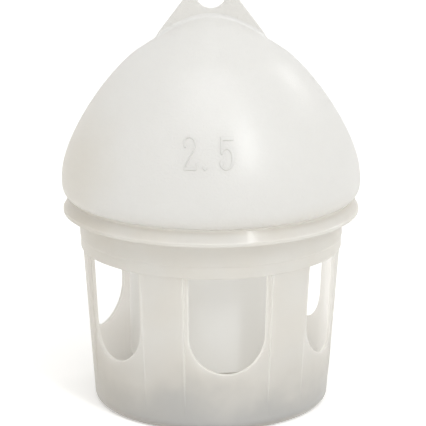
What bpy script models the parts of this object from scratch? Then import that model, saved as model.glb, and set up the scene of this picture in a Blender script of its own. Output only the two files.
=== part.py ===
"""Pigeon drinker: a round tub with drinking windows, and a domed water tank that stands in it neck down.

Metres, +Z up. The origin is the middle of the foot, on the surface that the tub stands on. The front is -Y.
The tank lifts straight up out of the tub along Z, to be turned over and filled through its neck.
"""

from math import acos, cos, pi, radians, sin, sqrt, tan

import bmesh
import bpy
from mathutils import Matrix, Vector

MM = 0.001

# How finely round shapes are drawn, how far a cutter runs past what it cuts, and how near points are joined
AROUND = 72
CURVE_STEPS = 9
CORNER_STEPS = 3
ARCH_STEPS = 18
EYE_STEPS = 20
BEYOND = 6 * MM
WELD = 0.001 * MM

# Tub wall and floor
PILLAR_RADIUS = 79.4 * MM
WALL_TAPER = 6.7 * MM
WALL = 2.2 * MM
FLOOR = 2.2 * MM
FOOT_RECESS = 1.5 * MM
FOOT_RING = 7 * MM
FOOT_CORNER = 4.5 * MM
FLOOR_CORNER = 3 * MM

# Drinking windows and the sunk panels that they stand in
WINDOW_COUNT = 6
WINDOW_TURN = radians(7.8)
WINDOW_HALF_ANGLE = radians(18)
WINDOW_SILL = 37 * MM
WINDOW_TOP = 97.2 * MM
WINDOW_ARCH = 23.9 * MM
PANEL_MARGIN = radians(1.7)
PANEL_DEPTH = 1.8 * MM
PANEL_FOOT = 14.5 * MM
PANEL_TOP_GAP = 0.2 * MM

# Band above the windows
BAND_PROUD = 1.3 * MM
BAND_LEDGE = 1 * MM
BAND_GAP = 0.4 * MM
STEP_HEIGHT = 8 * MM
STEP_PROUD = 0.5 * MM
STEP_RISE = 1 * MM

# Rim: a flat seat for the tank, and a skirt turned down round it
BAND_HEIGHT = 32.2 * MM
SEAT_REACH = 6.4 * MM
SEAT_CHAMFER = 0.8 * MM
SKIRT_SPREAD = 3.1 * MM
SKIRT_DROP = 6.3 * MM
LIP_PROUD = 0.5 * MM
LIP_HEIGHT = 2.3 * MM
LIP_LEDGE = 0.4 * MM

# Tank dome, measured up from its underside
DOME_OVERHANG = 4.4 * MM
DOME_WIDEST_HEIGHT = 11.3 * MM
DOME_HEIGHT = 110.6 * MM
DOME_CREST_REACH = 15.1 * MM
DOME_KNEE_RADIUS = 45 * MM
DOME_KNEE_DROP = 20.7 * MM
DOME_KNEE_SLOPE = radians(33.3)
DOME_KNEE_REACH_IN = 20.8 * MM
DOME_KNEE_REACH_OUT = 18.6 * MM
DOME_SIDE_REACH = 26.5 * MM
DOME_TUCK = 9.7 * MM
DOME_TUCK_REACH = 7.6 * MM
TANK_WALL = 1.8 * MM

# Tank plug and neck
SEAT_GAP = 0.3 * MM
PLUG_CLEARANCE = 0.6 * MM
PLUG_DEPTH = 9 * MM
PLUG_CORNER = 2.5 * MM
SHOULDER_HEIGHT = 18 * MM
NECK_RADIUS = 50.6 * MM
WATER_BELOW_SILL = 7.2 * MM

# Hanging lug on the crest of the dome. Its half width is taken at the crest's height.
LUG_THICKNESS = 3.9 * MM
LUG_SIDE_LEAN = radians(37)
LUG_HALF_WIDTH = 24.9 * MM
LUG_FILLET = 10 * MM
EYE_HOLE_RADIUS = 9.3 * MM
EYE_RING = 6.2 * MM
EYE_WEB = 5.3 * MM

# Sizes that follow from those above
FLOOR_TOP = FOOT_RECESS + FLOOR
FOOT_RADIUS = PILLAR_RADIUS - WALL_TAPER
PANEL_HALF_ANGLE = WINDOW_HALF_ANGLE + PANEL_MARGIN
BAND_FOOT = WINDOW_TOP + BAND_GAP
BAND_RADIUS = PILLAR_RADIUS + BAND_PROUD
BAND_TOP_RADIUS = BAND_RADIUS + STEP_PROUD
SOCKET_RADIUS = BAND_RADIUS - WALL
SEAT_HEIGHT = WINDOW_TOP + BAND_HEIGHT
SEAT_RADIUS = BAND_TOP_RADIUS + SEAT_REACH
SKIRT_RADIUS = SEAT_RADIUS + SKIRT_SPREAD
LIP_RADIUS = SKIRT_RADIUS + LIP_PROUD
TANK_BASE = SEAT_HEIGHT + SEAT_GAP
DOME_RADIUS = SEAT_RADIUS + DOME_OVERHANG
PLUG_RADIUS = SOCKET_RADIUS - PLUG_CLEARANCE
NECK_END = WINDOW_SILL - WATER_BELOW_SILL
EYE_RADIUS = EYE_HOLE_RADIUS + EYE_RING
EYE_ABOVE_CREST = EYE_HOLE_RADIUS + EYE_WEB


def wall_radius(height):
    """Outer radius of the tub at the pillars."""
    return FOOT_RADIUS + (PILLAR_RADIUS - FOOT_RADIUS) * height / WINDOW_TOP


def panel_radius(height):
    """Outer radius of the sunk panels, which meet the pillars' face at their foot."""
    return wall_radius(height) - PANEL_DEPTH * (height - PANEL_FOOT) / (WINDOW_TOP - PANEL_FOOT)


def arc(centre, radius, start, end, steps):
    """Points (r, z) along an arc. Angles are in degrees, from +r towards +z."""
    points = []
    for step in range(steps + 1):
        angle = radians(start + (end - start) * step / steps)
        points.append((centre[0] + radius * cos(angle), centre[1] + radius * sin(angle)))
    return points


def bezier(start, leave, arrive, end, steps):
    """Points along a cubic curve, with its start left out."""
    points = []
    for step in range(1, steps + 1):
        t = step / steps
        s = 1 - t
        shares = (s * s * s, 3 * s * s * t, 3 * s * t * t, t * t * t)
        points.append(tuple(
            sum(share * corner[axis] for share, corner in zip(shares, (start, leave, arrive, end)))
            for axis in (0, 1)
        ))
    return points


def offset(points, distance):
    """The outline moved to the right of its direction of travel, with mitred corners."""
    def right_of(a, b):
        along = Vector(b) - Vector(a)
        along.normalize()
        return Vector((along.y, -along.x))

    moved = []
    for index, point in enumerate(points):
        before = right_of(points[max(index - 1, 0)], points[max(index, 1)])
        after = right_of(points[min(index, len(points) - 2)], points[min(index + 1, len(points) - 1)])
        mitre = (before + after) / (1 + before.dot(after))
        moved.append(tuple(Vector(point) + mitre * distance))
    return moved


def tub_outline():
    """The tub's section, from the axis under the floor, round the rim and back to the axis inside."""
    foot_outer = wall_radius(FOOT_CORNER) - FOOT_CORNER
    foot_inner = foot_outer - FOOT_RING
    under = [(0, FOOT_RECESS), (foot_inner - FOOT_RECESS, FOOT_RECESS), (foot_inner, 0)]
    corner = arc((foot_outer, FOOT_CORNER), FOOT_CORNER, -90, 0, 2 * CORNER_STEPS)
    outside = [
        (wall_radius(BAND_FOOT), BAND_FOOT),
        (BAND_RADIUS, BAND_FOOT + BAND_LEDGE),
        (BAND_RADIUS, WINDOW_TOP + STEP_HEIGHT),
        (BAND_TOP_RADIUS, WINDOW_TOP + STEP_HEIGHT + STEP_RISE),
        (BAND_TOP_RADIUS, SEAT_HEIGHT - WALL),
    ]
    lip_top = SEAT_HEIGHT - SKIRT_DROP
    rim = [
        (SEAT_RADIUS - WALL / 2, SEAT_HEIGHT - WALL),
        (SKIRT_RADIUS - WALL, lip_top),
        (LIP_RADIUS - WALL, lip_top - LIP_HEIGHT),
        (LIP_RADIUS, lip_top - LIP_HEIGHT),
        (LIP_RADIUS, lip_top - LIP_LEDGE),
        (SKIRT_RADIUS, lip_top),
        (SEAT_RADIUS, SEAT_HEIGHT),
    ]
    inner_floor = wall_radius(FLOOR_TOP + FLOOR_CORNER) - WALL
    inside = [
        (SOCKET_RADIUS + SEAT_CHAMFER, SEAT_HEIGHT),
        (SOCKET_RADIUS, SEAT_HEIGHT - SEAT_CHAMFER),
        (SOCKET_RADIUS, BAND_FOOT + WALL + BAND_LEDGE),
        (panel_radius(WINDOW_TOP) - WALL, BAND_FOOT + WALL),
        (panel_radius(WINDOW_TOP) - WALL, WINDOW_TOP),
        (wall_radius(PANEL_FOOT) - WALL, PANEL_FOOT),
    ]
    inner_corner = arc(
        (inner_floor - FLOOR_CORNER, FLOOR_TOP + FLOOR_CORNER), FLOOR_CORNER, 0, -90, CORNER_STEPS
    )
    return under + corner + outside + rim + inside + inner_corner + [(0, FLOOR_TOP)]


def tank_outline():
    """The tank's outer face, from the crest of the dome down to the end of the neck, from its underside."""
    knee = (DOME_KNEE_RADIUS, DOME_HEIGHT - DOME_KNEE_DROP)
    slope = Vector((cos(DOME_KNEE_SLOPE), -sin(DOME_KNEE_SLOPE)))
    crest = (0, DOME_HEIGHT)
    widest = (DOME_RADIUS, DOME_WIDEST_HEIGHT)
    rest_edge = (DOME_RADIUS - DOME_TUCK, 0)
    dome = [crest]
    dome += bezier(
        crest,
        (DOME_CREST_REACH, DOME_HEIGHT),
        Vector(knee) - slope * DOME_KNEE_REACH_IN,
        knee,
        CURVE_STEPS,
    )
    dome += bezier(
        knee,
        Vector(knee) + slope * DOME_KNEE_REACH_OUT,
        (DOME_RADIUS, DOME_WIDEST_HEIGHT + DOME_SIDE_REACH),
        widest,
        CURVE_STEPS,
    )
    dome += bezier(
        widest,
        (DOME_RADIUS, DOME_WIDEST_HEIGHT - DOME_TUCK_REACH),
        (DOME_RADIUS - DOME_TUCK + DOME_TUCK_REACH, 0),
        rest_edge,
        2 * CORNER_STEPS,
    )
    plug_corner = arc(
        (PLUG_RADIUS - PLUG_CORNER, PLUG_CORNER - PLUG_DEPTH), PLUG_CORNER, 0, -90, CORNER_STEPS
    )
    plug = [(PLUG_RADIUS, 0)] + plug_corner
    neck_top = -PLUG_DEPTH - SHOULDER_HEIGHT
    return dome + plug + [(NECK_RADIUS, neck_top), (NECK_RADIUS, NECK_END - TANK_BASE)]


def hollow_outline():
    """The tank's inside, carried on past the end of the neck so that the mouth is open."""
    inner = offset(tank_outline(), TANK_WALL)
    inner[0] = (0, inner[0][1])
    mouth_radius = NECK_RADIUS - TANK_WALL
    below = inner[-1][1] - BEYOND
    return inner[:-1] + [(mouth_radius, below), (0, below)]


def turned(name, outline):
    """A solid of revolution about Z from an outline (r, z) that starts and ends on the axis."""
    shape = bmesh.new()
    points = [shape.verts.new((r, 0, z)) for r, z in outline]
    edges = [shape.edges.new(pair) for pair in zip(points, points[1:])]
    bmesh.ops.spin(
        shape, geom=points + edges, cent=(0, 0, 0), axis=(0, 0, 1), angle=2 * pi, steps=AROUND, use_merge=True
    )
    bmesh.ops.remove_doubles(shape, verts=shape.verts, dist=WELD)
    return finished(name, shape)


def slab(shape, outline, lift):
    """Adds a closed prism to the bmesh: lift gives the two ends' points for each (x, z) of the outline."""
    near = [shape.verts.new(lift(point, 0)) for point in outline]
    far = [shape.verts.new(lift(point, 1)) for point in outline]
    shape.faces.new(near)
    shape.faces.new(reversed(far))
    for index in range(len(outline)):
        after = (index + 1) % len(outline)
        shape.faces.new((near[after], near[index], far[index], far[after]))


def finished(name, shape):
    """Turns a bmesh into an object in the scene, with its faces pointing out."""
    bmesh.ops.recalc_face_normals(shape, faces=shape.faces)
    mesh = bpy.data.meshes.new(name)
    shape.to_mesh(mesh)
    shape.free()
    made = bpy.data.objects.new(name, mesh)
    bpy.context.scene.collection.objects.link(made)
    return made


def window_azimuths():
    return [WINDOW_TURN + 2 * pi * number / WINDOW_COUNT for number in range(WINDOW_COUNT)]


def window_cutters():
    """Arched wedges, narrower towards the axis, so that each jamb lies along a radius of the tub."""
    arch_centre = WINDOW_SILL + WINDOW_ARCH
    half_width = tan(WINDOW_HALF_ANGLE)
    outline = [(-half_width, WINDOW_TOP)]
    for step in range(ARCH_STEPS + 1):
        angle = pi * step / ARCH_STEPS
        outline.append((-half_width * cos(angle), arch_centre - WINDOW_ARCH * sin(angle)))
    outline.append((half_width, WINDOW_TOP))
    inner = wall_radius(0) / 2
    outer = LIP_RADIUS + BEYOND

    shape = bmesh.new()
    for azimuth in window_azimuths():
        turn = Matrix.Rotation(azimuth, 3, "Z")

        def lift(point, end):
            radius = (inner, outer)[end]
            return turn @ Vector((point[0] * radius, -radius, point[1]))

        slab(shape, outline, lift)
    return finished("window_cutters", shape)


def panel_cutters():
    """Sectors of a ring whose inner face is the panels' face. They run out of the wall at the panels' foot."""
    low = PANEL_FOOT - BEYOND
    high = WINDOW_TOP + PANEL_TOP_GAP
    outer = LIP_RADIUS + BEYOND
    section = [(panel_radius(low), low), (outer, low), (outer, high), (panel_radius(high), high)]
    steps = round(AROUND * PANEL_HALF_ANGLE / pi)

    shape = bmesh.new()
    for azimuth in window_azimuths():
        start = azimuth - PANEL_HALF_ANGLE - pi / 2
        corners = [shape.verts.new((r * cos(start), r * sin(start), z)) for r, z in section]
        face = shape.faces.new(corners)
        bmesh.ops.spin(
            shape,
            geom=[face],
            cent=(0, 0, 0),
            axis=(0, 0, 1),
            angle=2 * PANEL_HALF_ANGLE,
            steps=steps,
            use_merge=False,
        )
    return finished("panel_cutters", shape)


def lug_outline():
    """Half of the lug, (x, z) from its foot up the leaning side and round the eye to the top."""
    eye = Vector((0, DOME_HEIGHT + EYE_ABOVE_CREST))
    outward = Vector((cos(LUG_SIDE_LEAN), sin(LUG_SIDE_LEAN)))
    upward = Vector((-sin(LUG_SIDE_LEAN), cos(LUG_SIDE_LEAN)))
    side_point = Vector((LUG_HALF_WIDTH, DOME_HEIGHT))
    eye_to_side = outward.dot(side_point - eye)

    # The fillet's centre lies outside both the side and the eye's round
    out = LUG_FILLET + eye_to_side
    reach = EYE_RADIUS + LUG_FILLET
    down = sqrt(reach * reach - out * out)
    fillet = eye + outward * out - upward * down
    fillet_start = pi + LUG_SIDE_LEAN
    fillet_end = fillet_start - acos(out / reach)
    points = []
    for step in range(CORNER_STEPS + 1):
        angle = fillet_start + (fillet_end - fillet_start) * step / CORNER_STEPS
        points.append(tuple(fillet + LUG_FILLET * Vector((cos(angle), sin(angle)))))
    eye_start = fillet_end - pi
    for step in range(1, EYE_STEPS // 2 + 1):
        angle = eye_start + (pi / 2 - eye_start) * step / (EYE_STEPS // 2)
        points.append(tuple(eye + EYE_RADIUS * Vector((cos(angle), sin(angle)))))

    # The side runs down until it is inside the tank, where the hollow cuts it off
    foot = DOME_HEIGHT - DOME_KNEE_DROP
    foot_half_width = LUG_HALF_WIDTH + (DOME_HEIGHT - foot) * tan(LUG_SIDE_LEAN)
    return [(foot_half_width, foot)] + points


def lug_plate():
    half = lug_outline()
    other_half = [(-x, z) for x, z in reversed(half[:-1])]
    shape = bmesh.new()
    slab(shape, half + other_half, lambda point, end: (point[0], (end - 0.5) * LUG_THICKNESS, point[1]))
    return finished("lug_plate", shape)


def eye_cutter():
    shape = bmesh.new()
    bmesh.ops.create_cone(
        shape,
        cap_ends=True,
        segments=2 * EYE_STEPS,
        radius1=EYE_HOLE_RADIUS,
        radius2=EYE_HOLE_RADIUS,
        depth=LUG_THICKNESS + 2 * BEYOND,
        matrix=Matrix.Translation((0, 0, DOME_HEIGHT + EYE_ABOVE_CREST)) @ Matrix.Rotation(pi / 2, 4, "X"),
    )
    return finished("eye_cutter", shape)


def combine(target, helper, operation):
    """Adds or cuts a helper shape with a live Boolean, and keeps the helper out of renders."""
    helper.parent = target
    helper.hide_render = True
    helper.display_type = "WIRE"
    modifier = target.modifiers.new(helper.name, "BOOLEAN")
    modifier.operation = operation
    modifier.solver = "EXACT"
    modifier.object = helper


def plastic(name, colour, roughness):
    material = bpy.data.materials.new(name)
    material.use_nodes = True
    shader = material.node_tree.nodes["Principled BSDF"]
    shader.inputs["Base Color"].default_value = (*colour, 1)
    shader.inputs["Roughness"].default_value = roughness
    shader.inputs["Metallic"].default_value = 0
    return material


def shade(made, material):
    made.data.materials.append(material)
    made.data.shade_smooth()
    made.data.set_sharp_from_angle(angle=radians(30))


def make_tub():
    """The standing part: floor, pillars between six windows, band and rim, moulded in one piece."""
    tub = turned("tub", tub_outline())
    combine(tub, panel_cutters(), "DIFFERENCE")
    combine(tub, window_cutters(), "DIFFERENCE")
    shade(tub, plastic("tub_plastic", (0.80, 0.77, 0.71), 0.3))
    return tub


def make_tank():
    """The lifting part: dome, plug, neck and hanging lug, blown in one piece. Its origin is on the lift axis."""
    tank = turned("tank", tank_outline() + [(0, NECK_END - TANK_BASE)])
    combine(tank, lug_plate(), "UNION")
    combine(tank, eye_cutter(), "DIFFERENCE")
    combine(tank, turned("tank_hollow", hollow_outline()), "DIFFERENCE")
    tank.location = (0, 0, TANK_BASE)
    shade(tank, plastic("tank_plastic", (0.86, 0.85, 0.82), 0.45))
    return tank


def main():
    for old in list(bpy.data.objects):
        bpy.data.objects.remove(old, do_unlink=True)
    make_tub()
    make_tank()


main()
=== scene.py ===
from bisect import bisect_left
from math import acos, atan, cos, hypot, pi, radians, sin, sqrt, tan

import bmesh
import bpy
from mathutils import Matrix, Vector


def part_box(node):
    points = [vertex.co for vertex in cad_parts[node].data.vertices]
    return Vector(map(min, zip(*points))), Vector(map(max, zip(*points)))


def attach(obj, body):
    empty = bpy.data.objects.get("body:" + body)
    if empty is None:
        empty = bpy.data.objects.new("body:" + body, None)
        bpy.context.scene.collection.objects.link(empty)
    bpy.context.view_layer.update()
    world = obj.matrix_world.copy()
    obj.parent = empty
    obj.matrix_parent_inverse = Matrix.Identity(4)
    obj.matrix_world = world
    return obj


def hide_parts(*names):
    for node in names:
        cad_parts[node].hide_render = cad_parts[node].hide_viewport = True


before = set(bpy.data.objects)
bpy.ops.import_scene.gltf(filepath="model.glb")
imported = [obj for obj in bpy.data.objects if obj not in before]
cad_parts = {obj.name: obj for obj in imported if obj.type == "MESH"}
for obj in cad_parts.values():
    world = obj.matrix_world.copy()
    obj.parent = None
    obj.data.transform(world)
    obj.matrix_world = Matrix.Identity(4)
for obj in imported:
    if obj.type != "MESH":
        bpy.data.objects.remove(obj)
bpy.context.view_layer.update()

# %% [markdown]
# # A pigeon drinker
#
# A domed water tank stands neck down in a round tub, and birds drink through six arched windows. Both are
# thin plastic: the tub is injection moulded and the tank is blown in a mould. This lesson builds both as
# single closed shells round the fixed frame, gives each its own plastic, and lights them on a pale floor.

MM = 0.001
WELD = 0.002 * MM


def place_object(name, data):
    """A new object in the scene."""
    made = bpy.data.objects.new(name, data)
    bpy.context.scene.collection.objects.link(made)
    return made


# %% [markdown]
# ## Camera
#
# A product shot like this one is taken with a long lens from a little above, so that circles turn into thin
# ellipses. The camera could be aimed by eye, but here its height, distance and tilt are numbers that were
# found by matching the ellipses of rim and foot, and a small shift puts the object where the frame wants it.

# %% Camera
FRAME_PIXELS = 426
FOCAL_PIXELS = 2207.3
SHIFT_PIXELS = (2, 0.5)
SENSOR_WIDTH = 36
CAMERA_PLACE = (0, -1.3211, 0.4736)
CAMERA_TILT = radians(74.89)

camera_data = bpy.data.cameras.new("camera")
camera_data.sensor_width = SENSOR_WIDTH
camera_data.lens = SENSOR_WIDTH * FOCAL_PIXELS / FRAME_PIXELS
camera_data.shift_x = SHIFT_PIXELS[0] / FRAME_PIXELS
camera_data.shift_y = SHIFT_PIXELS[1] / FRAME_PIXELS
camera = place_object("camera", camera_data)
camera.location = CAMERA_PLACE
camera.rotation_euler = (CAMERA_TILT, 0, 0)
bpy.context.scene.camera = camera
print("lens in mm:", round(camera_data.lens, 1))

# %% [markdown]
# ## Outlines
#
# Nearly everything here is turned about one axis, so most shapes start as an outline of radius and height.
# Straight runs come from the frame's sizes. Moulded plastic has no sharp corners, so one helper turns each
# corner into an arc. Another adds a point close to both ends of each long run, which keeps its shading flat.

# %% Outline helpers
SUPPORT = 0.3 * MM
LONG_RUN = 1.8 * MM
CORNER_STEPS = 5


def arc(centre, radius, start, end, steps):
    """Points (r, z) along an arc. Angles are in degrees, from +r towards +z."""
    angles = [radians(start + (end - start) * step / steps) for step in range(steps + 1)]
    return [Vector((centre[0] + radius * cos(angle), centre[1] + radius * sin(angle))) for angle in angles]


def bezier(start, leave, arrive, end, steps):
    """Points along a cubic curve, both ends included."""
    corners = [Vector(corner) for corner in (start, leave, arrive, end)]
    points = []
    for step in range(steps + 1):
        t = step / steps
        s = 1 - t
        shares = (s * s * s, 3 * s * s * t, 3 * s * t * t, t * t * t)
        points.append(sum((share * corner for share, corner in zip(shares, corners)), Vector((0, 0))))
    return points


def angle_between(first, second):
    """The angle between two directions of length 1."""
    return acos(max(-1, min(1, first.dot(second))))


def rounded(corners):
    """Points of an outline whose corners (r, z, radius) become arcs. A radius of 0 keeps the corner."""
    points = []
    for index, (r, z, radius) in enumerate(corners):
        corner = Vector((r, z))
        if radius == 0:
            points.append(corner)
            continue
        back = (Vector(corners[index - 1][:2]) - corner).normalized()
        ahead = (Vector(corners[index + 1][:2]) - corner).normalized()
        half = angle_between(back, ahead) / 2
        centre = corner + (back + ahead).normalized() * radius / sin(half)
        first = corner + back * radius / tan(half) - centre
        last = corner + ahead * radius / tan(half) - centre
        sweep = angle_between(first.normalized(), last.normalized())
        for step in range(CORNER_STEPS + 1):
            share = step / CORNER_STEPS
            weights = (sin((1 - share) * sweep) / sin(sweep), sin(share * sweep) / sin(sweep))
            points.append(centre + first * weights[0] + last * weights[1])
    return points


def supported(points):
    """The outline with a point added close to both ends of each long straight run."""
    made = [Vector(points[0])]
    for before, after in zip(points, points[1:]):
        run = Vector(after) - Vector(before)
        if run.length > LONG_RUN:
            made.append(Vector(before) + run.normalized() * SUPPORT)
            made.append(Vector(after) - run.normalized() * SUPPORT)
        made.append(Vector(after))
    return made


# %% [markdown]
# ## Growing a shell
#
# The shells grow by one step, done again and again: extrude the open edges once and move the new row of
# points. The helpers below do that, round edges, weld points that lie together, and turn a finished shape
# into a piece that rides on a body of the frame.

# %% Mesh helpers
CENTRE_HOLE = 0.01 * MM
SHARP_ANGLE = radians(34)
BEVEL = {"offset_type": "OFFSET", "profile": 0.5, "affect": "EDGES", "clamp_overlap": True, "material": -1}


def all_of(shape):
    """All points, edges and faces of a shape."""
    return shape.verts[:] + shape.edges[:] + shape.faces[:]


def open_edges(shape, test=lambda co: True):
    """The open edges whose points all pass a test."""
    return [
        edge for edge in shape.edges
        if len(edge.link_faces) < 2 and all(test(vert.co) for vert in edge.verts)
    ]


def extrude_row(shape, edges, move):
    """Extrudes edges once, puts each new point where move says, and returns the new outer edges."""
    grown = bmesh.ops.extrude_edge_only(shape, edges=edges)["geom"]
    fresh = {item for item in grown if isinstance(item, bmesh.types.BMVert)}
    for vert in fresh:
        vert.co = move(vert)
    return [item for item in grown if isinstance(item, bmesh.types.BMEdge) and set(item.verts) <= fresh]


def at_radius(place, radius, height):
    """The point in the same direction from the axis, at another radius and height."""
    way = Vector((place.x, place.y)).normalized()
    return Vector((way.x * radius, way.y * radius, height))


def carry_on(shape, edges, outline):
    """Extrudes a closed loop of edges through the outline's (r, z). Each point stays in its own direction."""
    for r, z in outline:
        edges = extrude_row(shape, edges, lambda vert: at_radius(vert.co, max(r, CENTRE_HOLE), z))


def weld(shape, distance=WELD):
    """Merges points that lie almost on each other, and turns the faces outwards."""
    bmesh.ops.remove_doubles(shape, verts=shape.verts, dist=distance)
    bmesh.ops.recalc_face_normals(shape, faces=shape.faces)


def shape_object(name, shape):
    """An object made from a bmesh, which is used up."""
    mesh = bpy.data.meshes.new(name)
    shape.to_mesh(mesh)
    shape.free()
    return place_object(name, mesh)


def make_piece(name, shape, body):
    """Turns a bmesh into a smooth shaded piece that rides on a body."""
    print(name, "faces:", len(shape.faces), "open edges:", len(open_edges(shape)))
    piece = shape_object(name, shape)
    piece.data.shade_smooth()
    piece.data.set_sharp_from_angle(angle=SHARP_ANGLE)
    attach(piece, body)
    return piece


# %% [markdown]
# ## The tub's sizes
#
# The frame gives the tub's outside. The sizes that it doesn't name, such as the wall, the windows and the
# band, are written here once, and the outlines below are built from them.

# %% Tub sizes
tub_low, tub_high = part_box("tub")
SEAT_HEIGHT = tub_high.z
LIP_RADIUS = tub_high.x
WALL = 2.2 * MM
FLOOR_TOP = 3.7 * MM
FOOT_RECESS = 1.5 * MM
FOOT_RING = 7 * MM
FOOT_CORNER = 4.5 * MM
FLOOR_CORNER = 3 * MM
FOOT_RADIUS = 72.7 * MM
PILLAR_RADIUS = 79.4 * MM
WINDOW_COUNT = 6
WINDOW_TURN = radians(7.8)
WINDOW_HALF_ANGLE = radians(18)
WINDOW_SILL = 37 * MM
WINDOW_TOP = 97.2 * MM
WINDOW_ARCH = 23.9 * MM
PANEL_HALF_ANGLE = radians(19.7)
PANEL_EDGE = radians(0.36)
PANEL_DEPTH = 1.8 * MM
PANEL_FOOT = 14.5 * MM
BEAD_RISE = 0.4 * MM
BEAD_FOOT = 8 * MM
BEAD_CREST = 0.2 * MM
BEAD_FALL = 0.8 * MM
BAND_RADIUS = 80.7 * MM
STEP_HEIGHT = 8 * MM
STEP_RISE = 1 * MM
STEP_PROUD = 0.5 * MM
SEAT_RADIUS = 87.6 * MM
SKIRT_RADIUS = LIP_RADIUS - 0.5 * MM
LIP_TOP = SEAT_HEIGHT - 6.3 * MM
LIP_HEIGHT = 2.3 * MM
SOCKET_RADIUS = BAND_RADIUS - WALL
SHEET_TOP = WINDOW_TOP + 1 * MM


def wall_radius(height):
    """Outer radius of the pillars."""
    return FOOT_RADIUS + (PILLAR_RADIUS - FOOT_RADIUS) * height / WINDOW_TOP


def panel_radius(height):
    """Outer radius of the sunk panels, which run out into the wall at their foot."""
    return wall_radius(height) - PANEL_DEPTH * max(0, height - PANEL_FOOT) / (WINDOW_TOP - PANEL_FOOT)


print("seat height and lip radius in mm:", round(SEAT_HEIGHT / MM, 1), round(LIP_RADIUS / MM, 1))

# %% [markdown]
# ## The tub's wall, laid out flat
#
# The wall has six windows, each in a shallow sunk panel. Cutting them out of a turned wall with Booleans is
# quick, but leaves long slivers that shade badly and can't be bevelled. So the wall is laid out like a paper
# pattern, one window wide: the window's line is extruded outwards in rows to the panel's frame, and the
# frame to the pillars. Rows lie close together where the surface bends, and the sheet stays all quads.

# %% Window line on the flat pattern
ROLL_RADIUS = 76 * MM
PANEL_FRAME = PANEL_HALF_ANGLE - PANEL_EDGE / 2
ARCH_CENTRE = WINDOW_SILL + WINDOW_ARCH
HAUNCH_ANGLE = radians(35)
JAMB_STEPS = 7
HAUNCH_STEPS = 10
HALF_SILL_STEPS = 10


def arch_point(angle):
    """A point (azimuth, z) of the arched sill: half an ellipse, wide at the jambs and lowest in the middle."""
    azimuth = atan(tan(WINDOW_HALF_ANGLE) * cos(angle))
    return -azimuth, ARCH_CENTRE - WINDOW_ARCH * sin(angle)


def window_line():
    """The window's outline (x, z) with the point of the panel's frame that each point runs out to."""
    pairs = []
    for step in range(JAMB_STEPS):
        z = WINDOW_TOP + (ARCH_CENTRE - WINDOW_TOP) * step / JAMB_STEPS
        pairs.append(((-WINDOW_HALF_ANGLE, z), (-PANEL_FRAME, z)))
    for step in range(HAUNCH_STEPS):
        share = step / HAUNCH_STEPS
        frame_z = ARCH_CENTRE + (PANEL_FOOT - ARCH_CENTRE) * share
        pairs.append((arch_point(HAUNCH_ANGLE * share), (-PANEL_FRAME, frame_z)))
    for step in range(HALF_SILL_STEPS + 1):
        share = step / HALF_SILL_STEPS
        angle = HAUNCH_ANGLE + (pi / 2 - HAUNCH_ANGLE) * share
        pairs.append((arch_point(angle), (-PANEL_FRAME * (1 - share), PANEL_FOOT)))
    pairs += [tuple((-azimuth, z) for azimuth, z in pair) for pair in reversed(pairs[:-1])]
    return [tuple(Vector((azimuth * ROLL_RADIUS, z)) for azimuth, z in pair) for pair in pairs]


line = window_line()
print("window line points:", len(line))

# %% Rows from the window's line to the panel's frame
FIRST_ROW = 0.95 * MM
ROW_SHARES = (0.25, 0.5, 0.75, 1)


def on_sheet(point):
    """A point of the pattern, which lies in the plane y = 0."""
    return Vector((point.x, 0, point.y))


sheet = bmesh.new()
order = sheet.verts.layers.int.new("order")
row = [sheet.verts.new(on_sheet(point)) for point, _ in line]
row_edges = [sheet.edges.new(pair) for pair in zip(row, row[1:])]
first_row = []
for index, (point, target) in enumerate(line):
    row[index][order] = index
    along = line[min(index + 1, len(line) - 1)][0] - line[max(index - 1, 0)][0]
    along.normalize()
    away = Vector((along.y, -along.x))
    if index in (0, len(line) - 1):
        away = Vector((target.x - point.x, 0)).normalized()
    first_row.append(point + away * FIRST_ROW)
rows = [first_row]
rows += [[near.lerp(target, share) for near, (_, target) in zip(first_row, line)] for share in ROW_SHARES]
for places in rows:
    row_edges = extrude_row(sheet, row_edges, lambda vert: on_sheet(places[vert[order]]))
print("sheet faces:", len(sheet.faces))

# %% [markdown]
# The frame's two sides are carried on to the middle of the pillars. Narrow columns cross the panel's soft
# edge and the low bead beside it, where the surface bends. The lower edge is carried down to the foot, and a
# line across the top closes the window's head.

# %% Pillars, foot and head
FRAME_X = PANEL_FRAME * ROLL_RADIUS
PILLAR_MIDDLE = pi / WINDOW_COUNT
EDGE_COLUMNS = 6
BEAD_COLUMNS = 5
PILLAR_COLUMNS = 4
FOOT_ROWS = (11 * MM, 7.5 * MM, FOOT_CORNER)
HEAD_STEPS = 20

columns = [PANEL_FRAME + PANEL_EDGE * (step + 1) / EDGE_COLUMNS for step in range(EDGE_COLUMNS)]
bead_start = columns[-1]
for step in range(BEAD_COLUMNS + 1):
    columns.append(bead_start + (BEAD_CREST + BEAD_FALL * step / BEAD_COLUMNS) / ROLL_RADIUS)
pillar_start = columns[-1]
for step in range(PILLAR_COLUMNS):
    columns.append(pillar_start + (PILLAR_MIDDLE - pillar_start) * (step + 1) / PILLAR_COLUMNS)
for side in (-1, 1):
    column = open_edges(sheet, lambda co: abs(co.x - side * FRAME_X) < WELD)
    for azimuth in columns:
        column = extrude_row(
            sheet, column, lambda vert: Vector((side * azimuth * ROLL_RADIUS, 0, vert.co.z))
        )
foot_row = open_edges(sheet, lambda co: abs(co.z - PANEL_FOOT) < WELD)
for height in FOOT_ROWS:
    foot_row = extrude_row(sheet, foot_row, lambda vert: Vector((vert.co.x, 0, height)))
head = sheet.edges.new((row[0], row[-1]))
bmesh.ops.subdivide_edges(sheet, edges=[head], cuts=HEAD_STEPS - 1)
head_row = open_edges(sheet, lambda co: abs(co.z - WINDOW_TOP) < WELD)
extrude_row(sheet, head_row, lambda vert: Vector((vert.co.x, 0, SHEET_TOP)))
print("sheet faces with pillars:", len(sheet.faces))

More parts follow.
